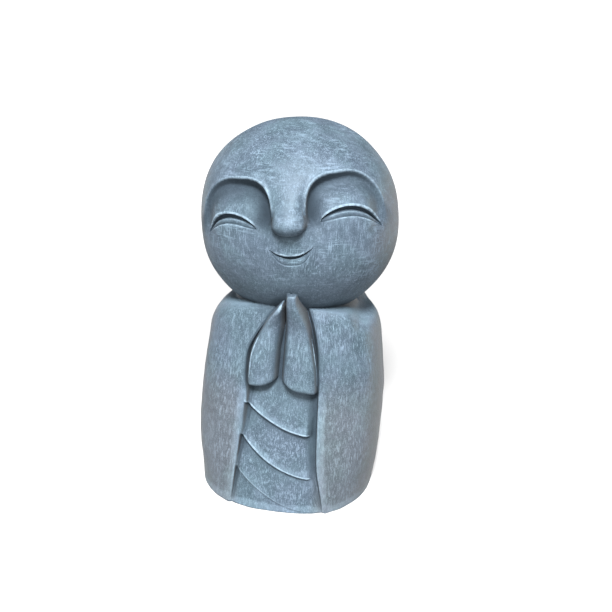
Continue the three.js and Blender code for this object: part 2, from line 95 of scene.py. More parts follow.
def follow(points, x):
    """A smooth curve through a few points, read as y for a given x."""
    last = len(points) - 1

    def slope(i):
        a, b = points[max(0, i - 1)], points[min(last, i + 1)]
        return (b[1] - a[1]) / (b[0] - a[0])

    if x <= points[0][0]:
        return points[0][1] + slope(0) * (x - points[0][0])
    if x >= points[last][0]:
        return points[last][1] + slope(last) * (x - points[last][0])
    i = 0
    while x > points[i + 1][0]:
        i += 1
    width = points[i + 1][0] - points[i][0]
    t = (x - points[i][0]) / width
    rest = 1 - t
    return (points[i][1] * (1 + 2 * t) * rest * rest + slope(i) * width * t * rest * rest
            + points[i + 1][1] * (1 + 2 * rest) * t * t - slope(i + 1) * width * rest * t * t)


def squareness(x, z):
    at_base = LEFT_BASE_SQUARENESS if x < 0 else RIGHT_BASE_SQUARENESS
    return at_base + (SQUARENESS - at_base) * smooth(0, 0.3, z / collar_z)


def half_width(z):
    return HALF_WIDTH * follow(WIDTH_SHARES, z / collar_z)


def half_depth(z):
    return HALF_DEPTH * follow(DEPTH_SHARES, z / collar_z)


def skew(z):
    """How much the section is out of square: hardly at all at the base."""
    return OUT_OF_SQUARE * smooth(-0.1, 0.6, z / collar_z)


def cloak_front(x, z):
    power = squareness(x, z)
    share = min(0.98, abs(x) / half_width(z))
    return -half_depth(z) * (1 - share ** power) ** (1 / power) + skew(z) * x


def left_rim(z):
    return HALF_WIDTH * follow(LEFT_RIM, z / collar_z)


def right_rim(z):
    return HALF_WIDTH * follow(RIGHT_RIM, z / collar_z)


def robe_depth(z):
    """The robe lies nearly flush at the base and deep behind the hands."""
    return ROBE_DEPTH * follow(ROBE_SHARES, z / collar_z)


def crown(x):
    """The cloak's top falls away to both shoulders, sooner on the right."""
    share = x / HALF_WIDTH
    drop = RIGHT_SHOULDER_DROP * smooth(0.56, 0.72, share) * (1 - smooth(0.85, 1.0, share))
    return SHOULDER_CROWN * (1 - abs(share) ** CROWN_POWER) - drop


def fold_height(fold, share):
    """Height of a fold's lower edge, for a share across the opening from the right rim."""
    right, fall = FOLDS[fold]
    return collar_z * (right + fall * max(0.0, share) ** FOLD_CURVE)


# Rows of the body: each is a panel of the robe and a share up it, or a level above the folds.
PANEL_ROWS = [14, 34, 34, 46]
TOP_PANEL = len(PANEL_ROWS) - 1
ROW_EASE = 1.45
ARC_ROWS = 18
CAP_ROWS = 10
body_rows = []
for panel, count in enumerate(PANEL_ROWS):
    for i in range(count):
        body_rows.append(("panel", panel, (i / count) ** ROW_EASE))
for i in range(ARC_ROWS + 1):
    body_rows.append(("arc", 0, i / ARC_ROWS))
for i in range(1, CAP_ROWS):
    body_rows.append(("cap", 0, i / CAP_ROWS))

# Columns of the body: first across the opening, then round the cloak.
OPENING_COLUMNS = 100
CLOAK_COLUMNS = 160
BODY_COLUMNS = OPENING_COLUMNS + CLOAK_COLUMNS


def robe_recess(x, z, panel, share, left, right):
    """How deep the robe lies behind the cloak's front."""
    from_left, from_right = x - left, right - x
    below_hands = smooth(0.3, 0.42, z / collar_z) * (1 - smooth(0.6, 0.68, z / collar_z))
    behind_hands = smooth(0.6, 0.7, z / collar_z)
    left_wall = LEFT_WALL + LEFT_WALL_BELOW_HANDS * below_hands
    walls = smooth(0, left_wall + LEFT_WALL_BEHIND_HANDS * behind_hands, from_left)
    walls *= smooth(0, RIGHT_WALL + RIGHT_WALL_BEHIND_HANDS * behind_hands, from_right)
    ends = smooth(FOLD_END, FOLD_FULL, from_right)
    side_groove = RIGHT_GROOVE * (1 - ends) * (1 - behind_hands)
    side_groove += LEFT_GROOVE * math.exp(-((from_left - left_wall - 0.6) / 1.1) ** 2)
    depth = robe_depth(z)
    rise = 0.0
    if panel > 0:
        rise = FOLD_STEP * min(1.0, depth / 4) * ends * (1 - share) ** FOLD_EASE
    return (depth + side_groove * min(1.0, depth / 3) - rise) * walls


def body_point(column, row):
    kind, panel, share = body_rows[row]
    across = None
    round_share = None
    if column <= OPENING_COLUMNS:
        t = column / OPENING_COLUMNS
        across = t - 0.055 * math.sin(2 * math.pi * t)
        from_right = 1 - across
    else:
        round_share = (column - OPENING_COLUMNS) / CLOAK_COLUMNS
        side = round_share if round_share < 0.5 else 1 - round_share
        from_right = 0.0 if round_share < 0.5 else 1.0
        from_right += (0.35 - from_right) * smooth(0.0, 0.35, side)
    left_inset = right_inset = front_inset = 0.0
    scale = 1.0
    if kind == "panel":
        lower = 0.0 if panel == 0 else fold_height(TOP_PANEL - panel, from_right)
        upper = shoulder_z
        if panel < TOP_PANEL:
            upper = fold_height(TOP_PANEL - 1 - panel, from_right) - FOLD_EDGE
        base = lower + (upper - lower) * share
        if base < BASE_ROUNDING:
            inset = BASE_ROUNDING * (1 - math.sqrt(max(0.0, 1 - (1 - base / BASE_ROUNDING) ** 2)))
            left_inset = right_inset = front_inset = inset
    else:
        angle = (share if kind == "arc" else 1.0) * math.pi / 2
        base = shoulder_z + SHOULDER_RADIUS * math.sin(angle)
        left_inset = SHOULDER_RADIUS * (1 - math.cos(angle))
        power = RIGHT_SHOULDER_SQUARENESS
        turned = (1 - min(1.0, math.sin(angle)) ** power) ** (1 / power)
        right_inset = RIGHT_SHOULDER_RADIUS * (1 - turned)
        front_inset = COLLAR_ROUNDING * (1 - math.cos(angle))
        if kind == "cap":
            scale = 1 - share
    lift = smooth(0.72 * collar_z, shoulder_top, base)
    z_middle = base + SHOULDER_CROWN * lift
    left, right = left_rim(z_middle), right_rim(z_middle)
    deep = half_depth(base) - front_inset

    def half_across(x):
        return half_width(base) - (left_inset if x < 0 else right_inset)

    def on_section(angle):
        power = squareness(math.sin(angle), base)
        wide = half_across(math.sin(angle))
        reach = (abs(math.sin(angle)) / wide) ** power + (abs(math.cos(angle)) / deep) ** power
        reach = reach ** (-1 / power)
        return reach * math.sin(angle), -reach * math.cos(angle)

    def front_y(x):
        power = squareness(x, base)
        return -deep * (1 - min(0.98, abs(x) / half_across(x)) ** power) ** (1 / power)

    recess = 0.0
    if across is not None:
        x = left + (right - left) * across
        y = front_y(x)
        on_fold = kind == "panel" and panel < TOP_PANEL
        recess = robe_recess(x, z_middle, panel if on_fold else 0, share if on_fold else 0, left, right)
        if kind == "panel" and panel == TOP_PANEL:
            fade = (1 - min(1, share / TOP_FOLD_SHARE)) ** FOLD_EASE
            rise = FOLD_STEP * smooth(FOLD_END, FOLD_FULL, right - x) * fade
            recess -= rise * smooth(0, RIGHT_WALL, right - x) * smooth(0, 2, x - left)
    else:
        start = math.atan2(right, -front_y(right))
        end = 2 * math.pi + math.atan2(left, -front_y(left))
        s = round_share
        spread = s - 0.115 * math.sin(2 * math.pi * s)
        x, y = on_section(start + (end - start) * spread)
        edge = min(math.hypot(x - right, y - front_y(right)), math.hypot(x - left, y - front_y(left)))
        recess = -RIM_LIP * (1 - math.exp(-(edge / RIM_EDGE) ** 2)) * math.exp(-(edge / RIM_WIDTH) ** 2)
    x, y = x * scale, y * scale
    y += skew(base) * x + recess * scale ** 6
    z = base + crown(x) * lift
    lumps = sum(noise.noise(Vector((x, y, z)) * pitch) * size for pitch, size in LUMPS)
    if base > 0 and kind != "cap":
        length = math.hypot(x, y)
        x, y = x * (1 + lumps / length), y * (1 + lumps / length)
    return Vector((x, y, z)) * MILLIMETRE


def add_object(name, bm):
    mesh = bpy.data.meshes.new(name)
    bm.to_mesh(mesh)
    bm.free()
    piece = bpy.data.objects.new(name, mesh)
    bpy.context.collection.objects.link(piece)
    return piece


def make_body():
    bm = bmesh.new()
    profile = [bm.verts.new((1, 0, row)) for row in range(len(body_rows))]
    for lower, upper in zip(profile, profile[1:]):
        bm.edges.new((lower, upper))
    bmesh.ops.spin(bm, geom=bm.verts[:] + bm.edges[:], cent=(0, 0, 0), axis=(0, 0, 1), angle=2 * math.pi,
                   steps=BODY_COLUMNS, use_merge=True)
    for vert in bm.verts:
        turn = math.atan2(vert.co.y, vert.co.x) % (2 * math.pi)
        column = round(turn / (2 * math.pi) * BODY_COLUMNS) % BODY_COLUMNS
        vert.co = body_point(column, round(vert.co.z))
    boundary = [edge for edge in bm.edges if edge.is_boundary]
    bmesh.ops.holes_fill(bm, edges=boundary)
    bmesh.ops.recalc_face_normals(bm, faces=bm.faces)
    return add_object("body", bm)


body = make_body()

# The hands: two long drops pressed side by side in the opening, their tips under the chin,
# with the thin edge of a sleeve showing beside each. Modelled in one with the body.
HAND_RISE = 3.8
HAND_LEAN = 8.0
HAND_ROOT = 14.0
HAND_BLUNTNESS = 0.62
SLEEVE_RADIUS = 0.6
SLEEVE_ROOT, SLEEVE_FACE = 6.0, 0.9
LEFT_HAND = {
    "outer": [(0.61, -0.355), (0.67, -0.36), (0.76, -0.35), (0.82, -0.315), (0.89, -0.245), (0.954, -0.165),
              (1.015, -0.065), (1.05, -0.005)],
    "inner": [(0.61, -0.04), (0.79, -0.026), (0.884, -0.003), (0.978, 0.012), (1.05, 0.025)],
    "bottom": 0.605, "top": 1.055, "corner": 8, "tip": 6, "outer_bluntness": 0.5, "inner_bluntness": 1.0,
}
RIGHT_HAND = {
    "outer": [(0.595, 0.382), (0.69, 0.364), (0.775, 0.325), (0.84, 0.292), (0.92, 0.25), (0.986, 0.2),
              (1.05, 0.155), (1.1, 0.145)],
    "inner": [(0.595, -0.01), (0.7, -0.018), (0.797, -0.014), (0.884, -0.008), (0.978, 0.0), (1.05, 0.006),
              (1.1, 0.012)],
    "bottom": 0.594, "top": 1.095, "corner": 9, "tip": 3, "outer_bluntness": 0.62, "inner_bluntness": 0.6,
}
# Each sleeve edge: its hand, its share across from the hand's outer side, and its ends' heights.
SLEEVE_EDGES = [(LEFT_HAND, 0.13, 0.655, 0.86), (RIGHT_HAND, 0.05, 0.64, 0.86)]


def rounded(q):
    return math.sqrt(1 - (1 - q) ** 2) if 0 < q < 1 else (1.0 if q >= 1 else 0.0)


def hand_sides(hand, z):
    """The hand's outer and inner side and its fullness at a height."""
    low, high = collar_z * hand["bottom"], collar_z * hand["top"]
    outer = HALF_WIDTH * follow(hand["outer"], z / collar_z)
    inner = HALF_WIDTH * follow(hand["inner"], z / collar_z)
    top = rounded((high - z) / hand["tip"])
    inner = outer + (inner - outer) * rounded((z - low) / hand["corner"]) * top
    return outer, inner, 0.35 + 0.65 * rounded((z - low) / 5) * top


def hand_front(hand, outer, inner, full, z, forward):
    middle = cloak_front((outer + inner) / 2, z) + HAND_ROOT
    rise = HAND_RISE + HAND_LEAN * smooth(0.88, 1.06, z / collar_z)
    return middle - (HAND_ROOT + rise) * full * math.copysign(abs(forward) ** HAND_BLUNTNESS, forward), middle


def hand_point(hand, direction):
    """Direction is on a ball: its height climbs the hand, and its compass goes round it."""
    ring = math.hypot(direction.x, direction.y)
    low, high = collar_z * hand["bottom"], collar_z * hand["top"]
    z = low + (high - low) * (direction.z + 1) / 2
    outer, inner, full = hand_sides(hand, z)
    across = direction.x / ring if ring > 1e-6 else 0.0
    forward = -direction.y / ring if ring > 1e-6 else 0.0
    toward_inner = across * (inner - outer) > 0
    bluntness = hand["inner_bluntness"] if toward_inner else hand["outer_bluntness"]
    across = math.copysign(abs(across) ** bluntness, across)
    x = (outer + inner) / 2 + abs(outer - inner) / 2 * across
    y, root = hand_front(hand, outer, inner, full, z, forward)
    return Vector((x, min(y, root), z)) * MILLIMETRE


def make_hand(name, hand):
    bm = bmesh.new()
    bmesh.ops.create_uvsphere(bm, u_segments=72, v_segments=64, radius=1)
    for vert in bm.verts:
        vert.co = hand_point(hand, vert.co)
    bmesh.ops.remove_doubles(bm, verts=bm.verts, dist=1e-6)
    bmesh.ops.recalc_face_normals(bm, faces=bm.faces)
    return add_object(name, bm)


def make_sleeve_edge(name, hand, share, low, high):
    bm = bmesh.new()
    bmesh.ops.create_cone(bm, cap_ends=True, segments=12, radius1=1, radius2=1, depth=1)
    long_edges = [edge for edge in bm.edges if abs(edge.verts[0].co.z - edge.verts[1].co.z) > 0.5]
    bmesh.ops.subdivide_edges(bm, edges=long_edges, cuts=47, use_grid_fill=True)
    for vert in bm.verts:
        t = vert.co.z + 0.5
        z = collar_z * (low + (high - low) * t)
        outer, inner, full = hand_sides(hand, z)
        across = (1 - 2 * share) ** (1 / hand["outer_bluntness"])
        y = hand_front(hand, outer, inner, full, z, math.sqrt(1 - across * across))[0]
        radius = SLEEVE_RADIUS * (0.25 + 0.75 * math.sqrt(max(0.0, 1 - abs(2 * t - 1) ** 4)))
        x = outer + (inner - outer) * share + radius * vert.co.x
        y += (SLEEVE_ROOT if vert.co.y > 0 else SLEEVE_FACE) * radius * vert.co.y
        vert.co = Vector((x, y, z)) * MILLIMETRE
    bmesh.ops.recalc_face_normals(bm, faces=bm.faces)
    return add_object(name, bm)


hands = [make_hand("left_hand", LEFT_HAND), make_hand("right_hand", RIGHT_HAND)]
sleeves = [make_sleeve_edge(f"sleeve_edge_{i}", *edge) for i, edge in enumerate(SLEEVE_EDGES)]

# The head: a shaven ball a little fuller than round, turned and tilted, bedded in the collar.
# The brows, lids, nose and cheeks are modelled on its surface, and the smiling eyes and mouth
# are cut into it as grooves. Places on it are degrees: azimuth from the face's middle, latitude.
HEAD_OFFSET_X = -2.0
HEAD_TURN = math.radians(5.9)
HEAD_TILT = math.radians(7.1)
HEAD_FULLNESS = 2.11
HEAD_COLUMNS = 300
HEAD_ROWS = 176
EYE_DEPTH = 3.1
MOUTH_DEPTH = 2.4
LIP_DEPTH = 1.1
GROOVE_CLEARANCE = 12.0
SOCKET_AZIMUTH, SOCKET_LATITUDE = 33.0, 5.0
SOCKET_TO_NOSE, SOCKET_UP, SOCKET_DOWN = 24.5, 25.2, 15.0
SOCKET_TO_TEMPLE = {-1: 25.5, 1: 24.0}
TEMPLE_DEPTH, INNER_DEPTH = 0.036, 0.054
BROW_RIDGE, LID_EDGE = 0.008, 0.003
HEAD_LUMP, HEAD_LUMP_PITCH = 0.5, 2.3
NOSE_HEIGHT = [(0.4, 0), (1.2, 0.062), (2.5, 0.1), (5.4, 0.122), (9.5, 0.094), (14, 0.056), (20, 0.03),
               (27, 0.011), (34, 0)]
NOSE_WIDTH = [(0.4, 2.0), (1.1, 4.2), (2.1, 6.2), (3.7, 7.9), (6, 8.7), (9.5, 8.0), (14, 7.6), (20, 8.8),
              (27, 11), (34, 14)]
# Each eye runs from its inner to its outer corner; the tilt of the head isn't quite shared.
EYES = {1: ((16.3, 6.3), (53.2, -0.8)), -1: ((17.8, 4.3), (53.4, 0.9))}
EYE_UPPER_RISE, EYE_LOWER_RISE = 9.4, 4.2
# Each swelling: its rise as a share of the radius, azimuth, latitude, and its reach both ways.
LID = (0.018, SOCKET_AZIMUTH, SOCKET_LATITUDE + 7, 15, 7.5)
CHEEK = (0.012, 60, -18, 34, 20)
LEFT_TEMPLE = (0.022, -80, 38, 35, 24)
RIGHT_CROWN_FLAT = (-0.022, 62, 54, 30, 20)


def socket_edge(azimuth, dy):
    dx = abs(azimuth) - SOCKET_AZIMUTH
    power = 3.3 if dx < 0 else 2.2
    across = abs(dx) / (SOCKET_TO_NOSE if dx < 0 else SOCKET_TO_TEMPLE[1 if azimuth > 0 else -1])
    along = dy / SOCKET_UP if dy > 0 else -dy / SOCKET_DOWN * smooth(-20, 0, dx)
    return (across ** power + along ** power) ** (1 / power)


def swelling(form, azimuth, latitude):
    rise, middle, level, wide, tall = form
    return rise * math.exp(-((azimuth - middle) / wide) ** 2 - ((latitude - level) / tall) ** 2)


def relief(azimuth, latitude):
    """How far the face stands out of the ball, as a share of the head's radius."""
    side = abs(azimuth)
    dx, dy = side - SOCKET_AZIMUTH, latitude - SOCKET_LATITUDE
    edge = socket_edge(azimuth, dy)
    toward_nose = 1 - smooth(-23, 23, dx)
    soft = 1 - smooth(-8, 7, dy)
    wall = 1 - smooth(0.92 - 0.3 * soft, 1.0 + 0.15 * soft, edge)
    floor = 0.15 + 0.85 * smooth(0.45, 0.86, edge)
    socket = -(TEMPLE_DEPTH + INNER_DEPTH * toward_nose) * wall * floor * smooth(-12, 7, dy)
    brow_ridge = BROW_RIDGE * math.exp(-((edge - 1.02) / 0.028) ** 2) * smooth(0, 12, dy)
    inner, outer = EYES[1 if azimuth > 0 else -1]
    along = (side - inner[0]) / (outer[0] - inner[0])
    lid_edge = 0.0
    if 0 < along < 1:
        upper = inner[1] + (outer[1] - inner[1]) * along + EYE_UPPER_RISE * math.sin(math.pi * along) ** 0.6
        lid_edge = LID_EDGE * math.exp(-((latitude - upper - 0.7) / 0.8) ** 2)
        lid_edge *= min(1.0, 8 * along, 8 * (1 - along))
    swellings = swelling(LID, side, latitude) + swelling(CHEEK, side, latitude)
    swellings += swelling(LEFT_TEMPLE, azimuth, latitude) + swelling(RIGHT_CROWN_FLAT, azimuth, latitude)
    nose = 0.0
    if NOSE_HEIGHT[0][0] < latitude < NOSE_HEIGHT[-1][0]:
        width = follow(NOSE_WIDTH, latitude)
        fullness = 0.5 + 0.3 * smooth(7, 18, latitude)
        nose = follow(NOSE_HEIGHT, latitude) * max(0.0, 1 - (side / width) ** 2.4) ** fullness
    return socket + brow_ridge + lid_edge + swellings + nose


def head_point(azimuth, latitude, sunk=0.0):
    a, b = math.radians(azimuth), math.radians(latitude)
    direction = Vector((math.cos(b) * math.sin(a), -math.cos(b) * math.cos(a), math.sin(b)))
    radii = (HEAD_RADIUS, HEAD_RADIUS, HEAD_HALF_HEIGHT)
    reach = sum((abs(part) / radius) ** HEAD_FULLNESS for part, radius in zip(direction, radii))
    reach = reach ** (-1 / HEAD_FULLNESS)
    reach += HEAD_RADIUS * relief(azimuth, latitude) + HEAD_LUMP * noise.noise(direction * HEAD_LUMP_PITCH)
    return direction * (reach - sunk) * MILLIMETRE


def make_head_ball():
    bm = bmesh.new()
    bmesh.ops.create_uvsphere(bm, u_segments=HEAD_COLUMNS, v_segments=HEAD_ROWS, radius=1)
    for vert in bm.verts:
        s = math.atan2(vert.co.x, -vert.co.y) / math.pi
        q = 2 * math.asin(max(-1.0, min(1.0, vert.co.z))) / math.pi
        azimuth = 180 * (0.5 * s + 0.5 * s ** 5)
        latitude = 90 * (0.45 * q + 0.55 * q ** 3) + 8 * (1 - q * q)
        vert.co = head_point(azimuth, latitude)
    bmesh.ops.recalc_face_normals(bm, faces=bm.faces)
    return bm


def make_groove(lower, upper, lower_depth, upper_depth):
    """A closed strip between two curves on the head, deeper at its upper edge."""
    bm = bmesh.new()
    bmesh.ops.create_cube(bm, size=1)
    along = [e for e in bm.edges if abs(e.verts[0].co.x - e.verts[1].co.x) > 0.5]
    bmesh.ops.subdivide_edges(bm, edges=along, cuts=63, use_grid_fill=True)
    across = [e for e in bm.edges if abs(e.verts[0].co.z - e.verts[1].co.z) > 0.5]
    bmesh.ops.subdivide_edges(bm, edges=across, cuts=9, use_grid_fill=True)
    for vert in bm.verts:
        t, share = vert.co.x + 0.5, vert.co.z + 0.5
        azimuth, low = lower(t)
        high = max(upper(t)[1], low + 0.25)
        latitude = low + (high - low) * share
        ends = math.sin(math.pi * min(0.98, max(0.02, t)))
        depth = lower_depth + (upper_depth - lower_depth) * smooth(0.5, 0.68, share)
        depth *= 0.25 + 0.75 * math.sqrt(ends)
        vert.co = head_point(azimuth, latitude, -GROOVE_CLEARANCE if vert.co.y < 0 else depth)
    bmesh.ops.recalc_face_normals(bm, faces=bm.faces)
    return bm


MOUTH_HALF_WIDTH, MOUTH_CORNER, MOUTH_FALL, MOUTH_THICKNESS = 11.2, -6.2, 5.9, 2.0
LIP_HALF_WIDTH, LIP_CORNER, LIP_FALL = 10.6, -7.3, 8.2


def eye_groove(side):
    def chord(t):
        share = t if side > 0 else 1 - t
        inner, outer = EYES[side]
        return side * (inner[0] + (outer[0] - inner[0]) * share), inner[1] + (outer[1] - inner[1]) * share

    def lower(t):
        azimuth, latitude = chord(t)
        return azimuth, latitude + EYE_LOWER_RISE * max(0.0, math.sin(math.pi * t)) ** 1.2

    def upper(t):
        azimuth, latitude = chord(t)
        return azimuth, latitude + EYE_UPPER_RISE * max(0.0, math.sin(math.pi * t)) ** 0.6

    return make_groove(lower, upper, 0.42 * EYE_DEPTH, EYE_DEPTH)


def mouth_curve(half, corner, fall, power, lift):
    def curve(t):
        s = 2 * t - 1
        bow = 1 - abs(s) ** power
        return half * s, corner - (fall - lift) * bow
    return curve


mouth_line = mouth_curve(MOUTH_HALF_WIDTH, MOUTH_CORNER, MOUTH_FALL, 2, 0)
mouth_top = mouth_curve(MOUTH_HALF_WIDTH, MOUTH_CORNER, MOUTH_FALL, 2, MOUTH_THICKNESS)
lip_line = mouth_curve(LIP_HALF_WIDTH, LIP_CORNER, LIP_FALL, 3, 0)
lip_top = mouth_curve(LIP_HALF_WIDTH, MOUTH_CORNER, MOUTH_FALL, 2, 0.3)
head_pose = (Matrix.Translation(Vector((HEAD_OFFSET_X, 0, head_centre_z)) * MILLIMETRE)
             @ Matrix.Rotation(HEAD_TURN, 4, "Z") @ Matrix.Rotation(-HEAD_TILT, 4, "Y"))


def head_piece(name, bm):
    bmesh.ops.transform(bm, matrix=head_pose, verts=bm.verts)
    return add_object(name, bm)


head = head_piece("head", make_head_ball())
grooves = [head_piece("right_eye_groove", eye_groove(1)), head_piece("left_eye_groove", eye_groove(-1)),
           head_piece("lip_groove", make_groove(lip_line, lip_top, 0.7 * LIP_DEPTH, LIP_DEPTH)),
           head_piece("mouth_groove", make_groove(mouth_line, mouth_top, MOUTH_DEPTH, MOUTH_DEPTH))]

# One casting: the modelled forms are joined into a single solid, flat underneath as the mould leaves it.


def combine(target, other, operation):
    modifier = target.modifiers.new("join", "BOOLEAN")
    modifier.operation = operation
    modifier.solver = "MANIFOLD"
    modifier.object = other
    graph = bpy.context.evaluated_depsgraph_get()
    mesh = bpy.data.meshes.new_from_object(target.evaluated_get(graph))
    target.modifiers.clear()
    old = target.data
    target.data = mesh
    bpy.data.meshes.remove(old)
    bpy.data.objects.remove(other)


for groove in grooves:
    combine(head, groove, "DIFFERENCE")
for piece in hands + sleeves:
    combine(body, piece, "UNION")
combine(body, head, "UNION")
statue = body
statue.name = "figure"
statue.data.name = "figure"
for polygon in statue.data.polygons:
    polygon.use_smooth = True

# Wear, and the dark wash with painted shade in the hollows, are read from the form: how deep each point lies
# between its neighbours, within a finger's width, and how far it stands out of the surface round it.
HOLLOW_REACH = 0.022
EDGE_REACH = 0.0015
PROUD_REACH = 0.006
SKIN = 0.00015
EDGE_CLEARANCE, PROUD_CLEARANCE = 0.002, 0.004
# A probe starts its clearance above the surface and looks down this many clearances.
PROBE_LENGTH = 2.5
# Rays into the space above a point: degrees from upright, and how many go round at that lean.
RAY_LEANS = ((35, 4), (65, 8))
HOLLOW_LIMIT = 0.35
HEAD_FOOT = 0.13
FACE_HALF_ANGLE = 75
LEFT_SHADE = 1.35


def read_form(mesh):
    tree = bvhtree.BVHTree.FromPolygons([v.co for v in mesh.vertices], [p.vertices for p in mesh.polygons])
    rays = []
    for lean, count in RAY_LEANS:
        for i in range(count):
            turn = 2 * math.pi * (i + 0.5) / count
            lean_angle = math.radians(lean)
            rays.append((math.cos(turn) * math.sin(lean_angle), math.sin(turn) * math.sin(lean_angle),
                         math.cos(lean_angle)))
    ring = [(math.cos(math.pi * i / 4), math.sin(math.pi * i / 4)) for i in range(8)]
    hollow, raised, proud = [], [], []
    probes = ((raised, EDGE_REACH, EDGE_CLEARANCE), (proud, PROUD_REACH, PROUD_CLEARANCE))
    for vert in mesh.vertices:
        normal = vert.normal
        side = normal.orthogonal().normalized()
        other = normal.cross(side)
        start = vert.co + normal * SKIN
        closed = 0.0
        for a, b, c in rays:
            distance = tree.ray_cast(start, side * a + other * b + normal * c, HOLLOW_REACH)[3]
            if distance is not None:
                closed += 1 - distance / HOLLOW_REACH
        closed /= len(rays)
        hollow.append(closed)
        for heights, reach, clear in probes:
            drop = 0.0
            if closed < HOLLOW_LIMIT:
                for a, b in ring:
                    start = vert.co + normal * clear + (side * a + other * b) * reach
                    distance = tree.ray_cast(start, -normal, PROBE_LENGTH * clear)[3]
                    drop += (PROBE_LENGTH * clear if distance is None else distance) - clear
            heights.append(drop / len(ring))
    return hollow, raised, proud


def brow_shade(mesh):
    """The dark under the brows, deepest along their edge and run down beside the nose."""
    shade = []
    for vert in mesh.vertices:
        place = head_pose.inverted() @ vert.co
        azimuth = math.degrees(math.atan2(place.x, -place.y))
        dy = math.degrees(math.asin(place.z / place.length)) - SOCKET_LATITUDE
        edge = socket_edge(azimuth, dy)
        on_face = vert.co.z > HEAD_FOOT and abs(azimuth) < FACE_HALF_ANGLE
        inside = smooth(0.3, 0.95, edge) if azimuth > 0 else LEFT_SHADE * smooth(0.3, 0.82, edge)
        outside = smooth(0.98, 1.04 + 0.5 * (1 - smooth(-4, 9, dy)), edge)
        shade.append(inside * (1 - outside) * smooth(-11, 5, dy) if on_face else 0.0)
    return shade


def spread(mesh, values, rounds):
    """Each point takes half of its neighbours' mean, so that wash and wear have soft edges."""
    pairs = np.empty(2 * len(mesh.edges), dtype=np.int32)
    mesh.edges.foreach_get("vertices", pairs)
    first, second = pairs[0::2], pairs[1::2]
    count = np.bincount(pairs, minlength=len(values))
    values = np.array(values)
    for _ in range(rounds):
        total = np.bincount(first, values[second], len(values))
        total += np.bincount(second, values[first], len(values))
        values = 0.5 * values + 0.5 * total / count
    return values


readings = [*read_form(statue.data), brow_shade(statue.data)]
for name, values, rounds in zip(("hollow", "raised", "proud", "shade"), readings, (2, 1, 3, 1)):
    attribute = statue.data.attributes.new(name, "FLOAT", "POINT")
    attribute.data.foreach_set("value", spread(statue.data, values, rounds))

# The stone's finish: a blue-grey cast body under a dark wash and painted shade in the hollows, then
# dry-brushed light, in short upright strokes on the cloak and crossed strokes on the head.
DARK_SLATE = (0.025, 0.038, 0.052, 1)
MID_SLATE = (0.058, 0.083, 0.108, 1)
WARM_GREY = (0.070, 0.071, 0.071, 1)
BRUSHED = (0.150, 0.208, 0.265, 1)
DRY_BRUSHED = (0.150, 0.188, 0.222, 1)
WORN_EDGE = (0.23, 0.31, 0.38, 1)
# The dark of the wash and of the painted shade.
SHADE_AND_WASH_DARK = (0.015, 0.022, 0.030, 1)
GREEN_CAST = (0.965, 1.012, 0.982, 1)
VIOLET_CAST = (1.018, 0.985, 1.01, 1)
# Heights in metres between which the finish changes.
HEAD_HEIGHTS = (0.128, 0.142)
NECK_HEIGHTS = (0.120, 0.128)
FACE_HEIGHTS = (0.150, 0.165)
SHOULDER_HEIGHTS = (0.150, 0.140)
LOW_CLOAK_HEIGHTS = (0.105, 0.065)
LOW_ROBE_HEIGHTS = (0.072, 0.088)
BASE_HEIGHTS = (0.002, 0.006)
ROBE_TO_CLOAK = (0.022, 0.032)
STROKE_CUT = (0.42, 0.68)
stone = bpy.data.materials.new("stone")
stone.use_nodes = True
nodes, links = stone.node_tree.nodes, stone.node_tree.links
shader = nodes["Principled BSDF"]


def put(kind, inputs=None, **settings):
    node = nodes.new(kind)
    for name, value in settings.items():
        setattr(node, name, value)
    for name, value in (inputs or {}).items():
        if isinstance(value, bpy.types.NodeSocket):
            links.new(value, node.inputs[name])
        else:
            node.inputs[name].default_value = value
    return node


def grain(scale, stretch=(1, 1, 1), turn=(0, 0, 0), detail=3.0, roughness=0.6):
    place = put("ShaderNodeMapping", {"Vector": body_place, "Scale": stretch, "Rotation": turn})
    return put("ShaderNodeTexNoise", {"Vector": place.outputs[0], "Scale": scale, "Detail": detail,
                                      "Roughness": roughness}).outputs["Fac"]


def between(value, low, high, out_low=0.0, out_high=1.0):
    return put("ShaderNodeMapRange", {"Value": value, "From Min": low, "From Max": high, "To Min": out_low,
                                      "To Max": out_high}, interpolation_type="SMOOTHSTEP").outputs[0]


def times(a, b):
    return put("ShaderNodeMath", {0: a, 1: b}, operation="MULTIPLY").outputs[0]


def plus(a, b):
    return put("ShaderNodeMath", {0: a, 1: b}, operation="ADD", use_clamp=True).outputs[0]


def blend(share, a, b):
    return put("ShaderNodeMix", {0: share, 6: a, 7: b}, data_type="RGBA").outputs[2]


coordinates = put("ShaderNodeTexCoord")
body_place = coordinates.outputs["Object"]
hollow = put("ShaderNodeAttribute", attribute_name="hollow").outputs["Fac"]
raised = put("ShaderNodeAttribute", attribute_name="raised").outputs["Fac"]
proud = put("ShaderNodeAttribute", attribute_name="proud").outputs["Fac"]
shade = put("ShaderNodeAttribute", attribute_name="shade").outputs["Fac"]
spot = put("ShaderNodeSeparateXYZ", {0: body_place})
height = spot.outputs["Z"]
from_middle = put("ShaderNodeMath", {0: spot.outputs["X"]}, operation="ABSOLUTE").outputs[0]
facing = put("ShaderNodeSeparateXYZ", {0: coordinates.outputs["Normal"]})
upward_face = facing.outputs["Z"]
sideways = put("ShaderNodeMath", {0: facing.outputs["X"]}, operation="ABSOLUTE").outputs[0]
on_head = between(height, *HEAD_HEIGHTS)
low_cloak = times(between(height, *LOW_CLOAK_HEIGHTS), between(from_middle, *ROBE_TO_CLOAK))
# Faces turned sideways, which get a painted warm reflection and painted shade.
away = between(sideways, 0.72, 0.98)

